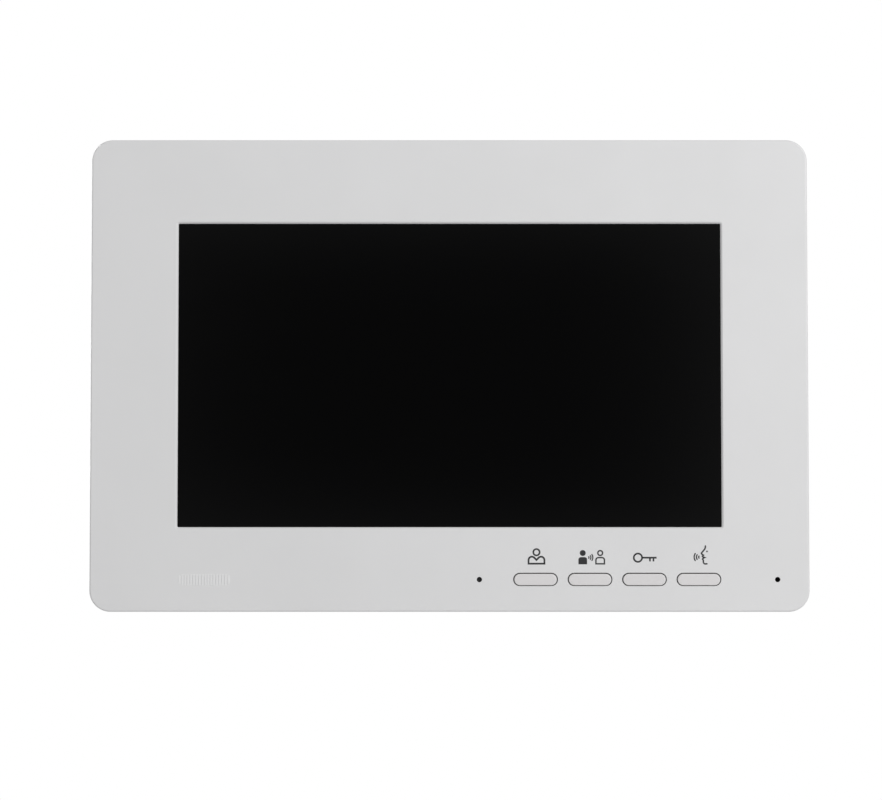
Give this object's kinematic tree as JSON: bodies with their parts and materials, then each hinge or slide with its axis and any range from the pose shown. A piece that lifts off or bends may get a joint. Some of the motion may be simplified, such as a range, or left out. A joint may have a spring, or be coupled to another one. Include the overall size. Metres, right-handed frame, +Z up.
{
  "type": "video intercom monitor",
  "caption": "Wall-hung video intercom monitor: wide dark screen in a white case, row of push keys below, hook-on steel bracket behind.",
  "frame": {"origin": "middle of the bracket's wall face, which is also the middle of the case seen from the front", "axes": "+X to the right seen from the front, +Y from the screen towards the wall, +Z up"},
  "size_m": [0.205, 0.0251, 0.135],
  "materials": {
    "case_white": "satin white moulding",
    "key_white": "satin, slightly warmer than the case",
    "lens_black": "smoked acrylic, glossy",
    "display_glass": "dark when off",
    "steel_zinc": "zinc plated sheet",
    "screw_steel": "zinc plated",
    "aluminium_can": "drawn can",
    "board_green": "green solder resist",
    "plastic_black": "moulded",
    "nylon_white": "natural nylon",
    "foam_black": "soft foam or rubber",
    "lamp_red": "tinted, unlit",
    "clear_pipe": "clear acrylic",
    "film_brown": "polyimide film",
    "label_silver": "blank silver label"
  },
  "bodies": {
    "bracket": {"wall_bracket": "steel_zinc"},
    "monitor_key": {"monitor_button": "key_white", "monitor_switch_plunger": "nylon_white"},
    "intercom_key": {"intercom_button": "key_white", "intercom_switch_plunger": "nylon_white"},
    "unlock_key": {"unlock_button": "key_white", "unlock_switch_plunger": "nylon_white"},
    "talk_key": {"talk_button": "key_white", "talk_switch_plunger": "nylon_white"},
    "volume_dial": {"volume_wheel": "plastic_black"},
    "brightness_dial": {"brightness_wheel": "plastic_black"},
    "colour_dial": {"colour_wheel": "plastic_black"},
    "housing": {"lcd_frame": "steel_zinc", "lcd_clamp_left": "steel_zinc", "lcd_clamp_right": "steel_zinc", "speaker_magnet": "steel_zinc", "front_cover": "case_white", "rear_cover": "case_white", "screen_lens": "lens_black", "screen_gasket": "foam_black", "speaker_gasket": "foam_black", "microphone_boot": "foam_black", "lcd_glass": "display_glass", "lcd_backlight": "nylon_white", "door_1_header": "nylon_white", "door_2_header": "nylon_white", "extension_header": "nylon_white", "power_header": "nylon_white", "main_board": "board_green", "button_board": "board_green", "lcd_clamp_screw_left": "screw_steel", "lcd_clamp_screw_right": "screw_steel", "main_board_screw_1": "screw_steel", "main_board_screw_2": "screw_steel", "main_board_screw_3": "screw_steel", "main_board_screw_4": "screw_steel", "button_board_screw_1": "screw_steel", "button_board_screw_2": "screw_steel", "case_screw_1": "screw_steel", "case_screw_2": "screw_steel", "case_screw_3": "screw_steel", "case_screw_4": "screw_steel", "processor_chip": "plastic_black", "speaker_frame": "plastic_black", "speaker_cone": "plastic_black", "speaker_lead": "plastic_black", "volume_control": "plastic_black", "brightness_control": "plastic_black", "colour_control": "plastic_black", "monitor_switch": "plastic_black", "intercom_switch": "plastic_black", "unlock_switch": "plastic_black", "talk_switch": "plastic_black", "buffer_capacitor": "aluminium_can", "microphone_capsule": "aluminium_can", "power_led": "lamp_red", "led_light_pipe": "clear_pipe", "lcd_ribbon": "film_brown", "button_ribbon": "film_brown", "rating_label": "label_silver"}
  },
  "joints": [
    {"name": "housing_lift", "type": "slide", "parent": "bracket", "child": "housing", "axis": [0, 0, 1], "range_m": [0, 0.006]},
    {"name": "monitor_press", "type": "slide", "parent": "housing", "child": "monitor_key", "axis": [0, 1, 0], "range_m": [0, 0.0005], "stiffness_N_per_m": 800, "springref_m": -0.0005},
    {"name": "intercom_press", "type": "slide", "parent": "housing", "child": "intercom_key", "axis": [0, 1, 0], "range_m": [0, 0.0005], "stiffness_N_per_m": 800, "springref_m": -0.0005},
    {"name": "unlock_press", "type": "slide", "parent": "housing", "child": "unlock_key", "axis": [0, 1, 0], "range_m": [0, 0.0005], "stiffness_N_per_m": 800, "springref_m": -0.0005},
    {"name": "talk_press", "type": "slide", "parent": "housing", "child": "talk_key", "axis": [0, 1, 0], "range_m": [0, 0.0005], "stiffness_N_per_m": 800, "springref_m": -0.0005},
    {"name": "volume_turn", "type": "hinge", "parent": "housing", "child": "volume_dial", "pos_m": [0.0916, -0.0077, 0.03], "axis": [0, -1, 0], "range_deg": [-135, 135]},
    {"name": "brightness_turn", "type": "hinge", "parent": "housing", "child": "brightness_dial", "pos_m": [0.0916, -0.0077, 0.012], "axis": [0, -1, 0], "range_deg": [-135, 135]},
    {"name": "colour_turn", "type": "hinge", "parent": "housing", "child": "colour_dial", "pos_m": [0.0916, -0.0077, -0.006], "axis": [0, -1, 0], "range_deg": [-135, 135]}
  ]
}
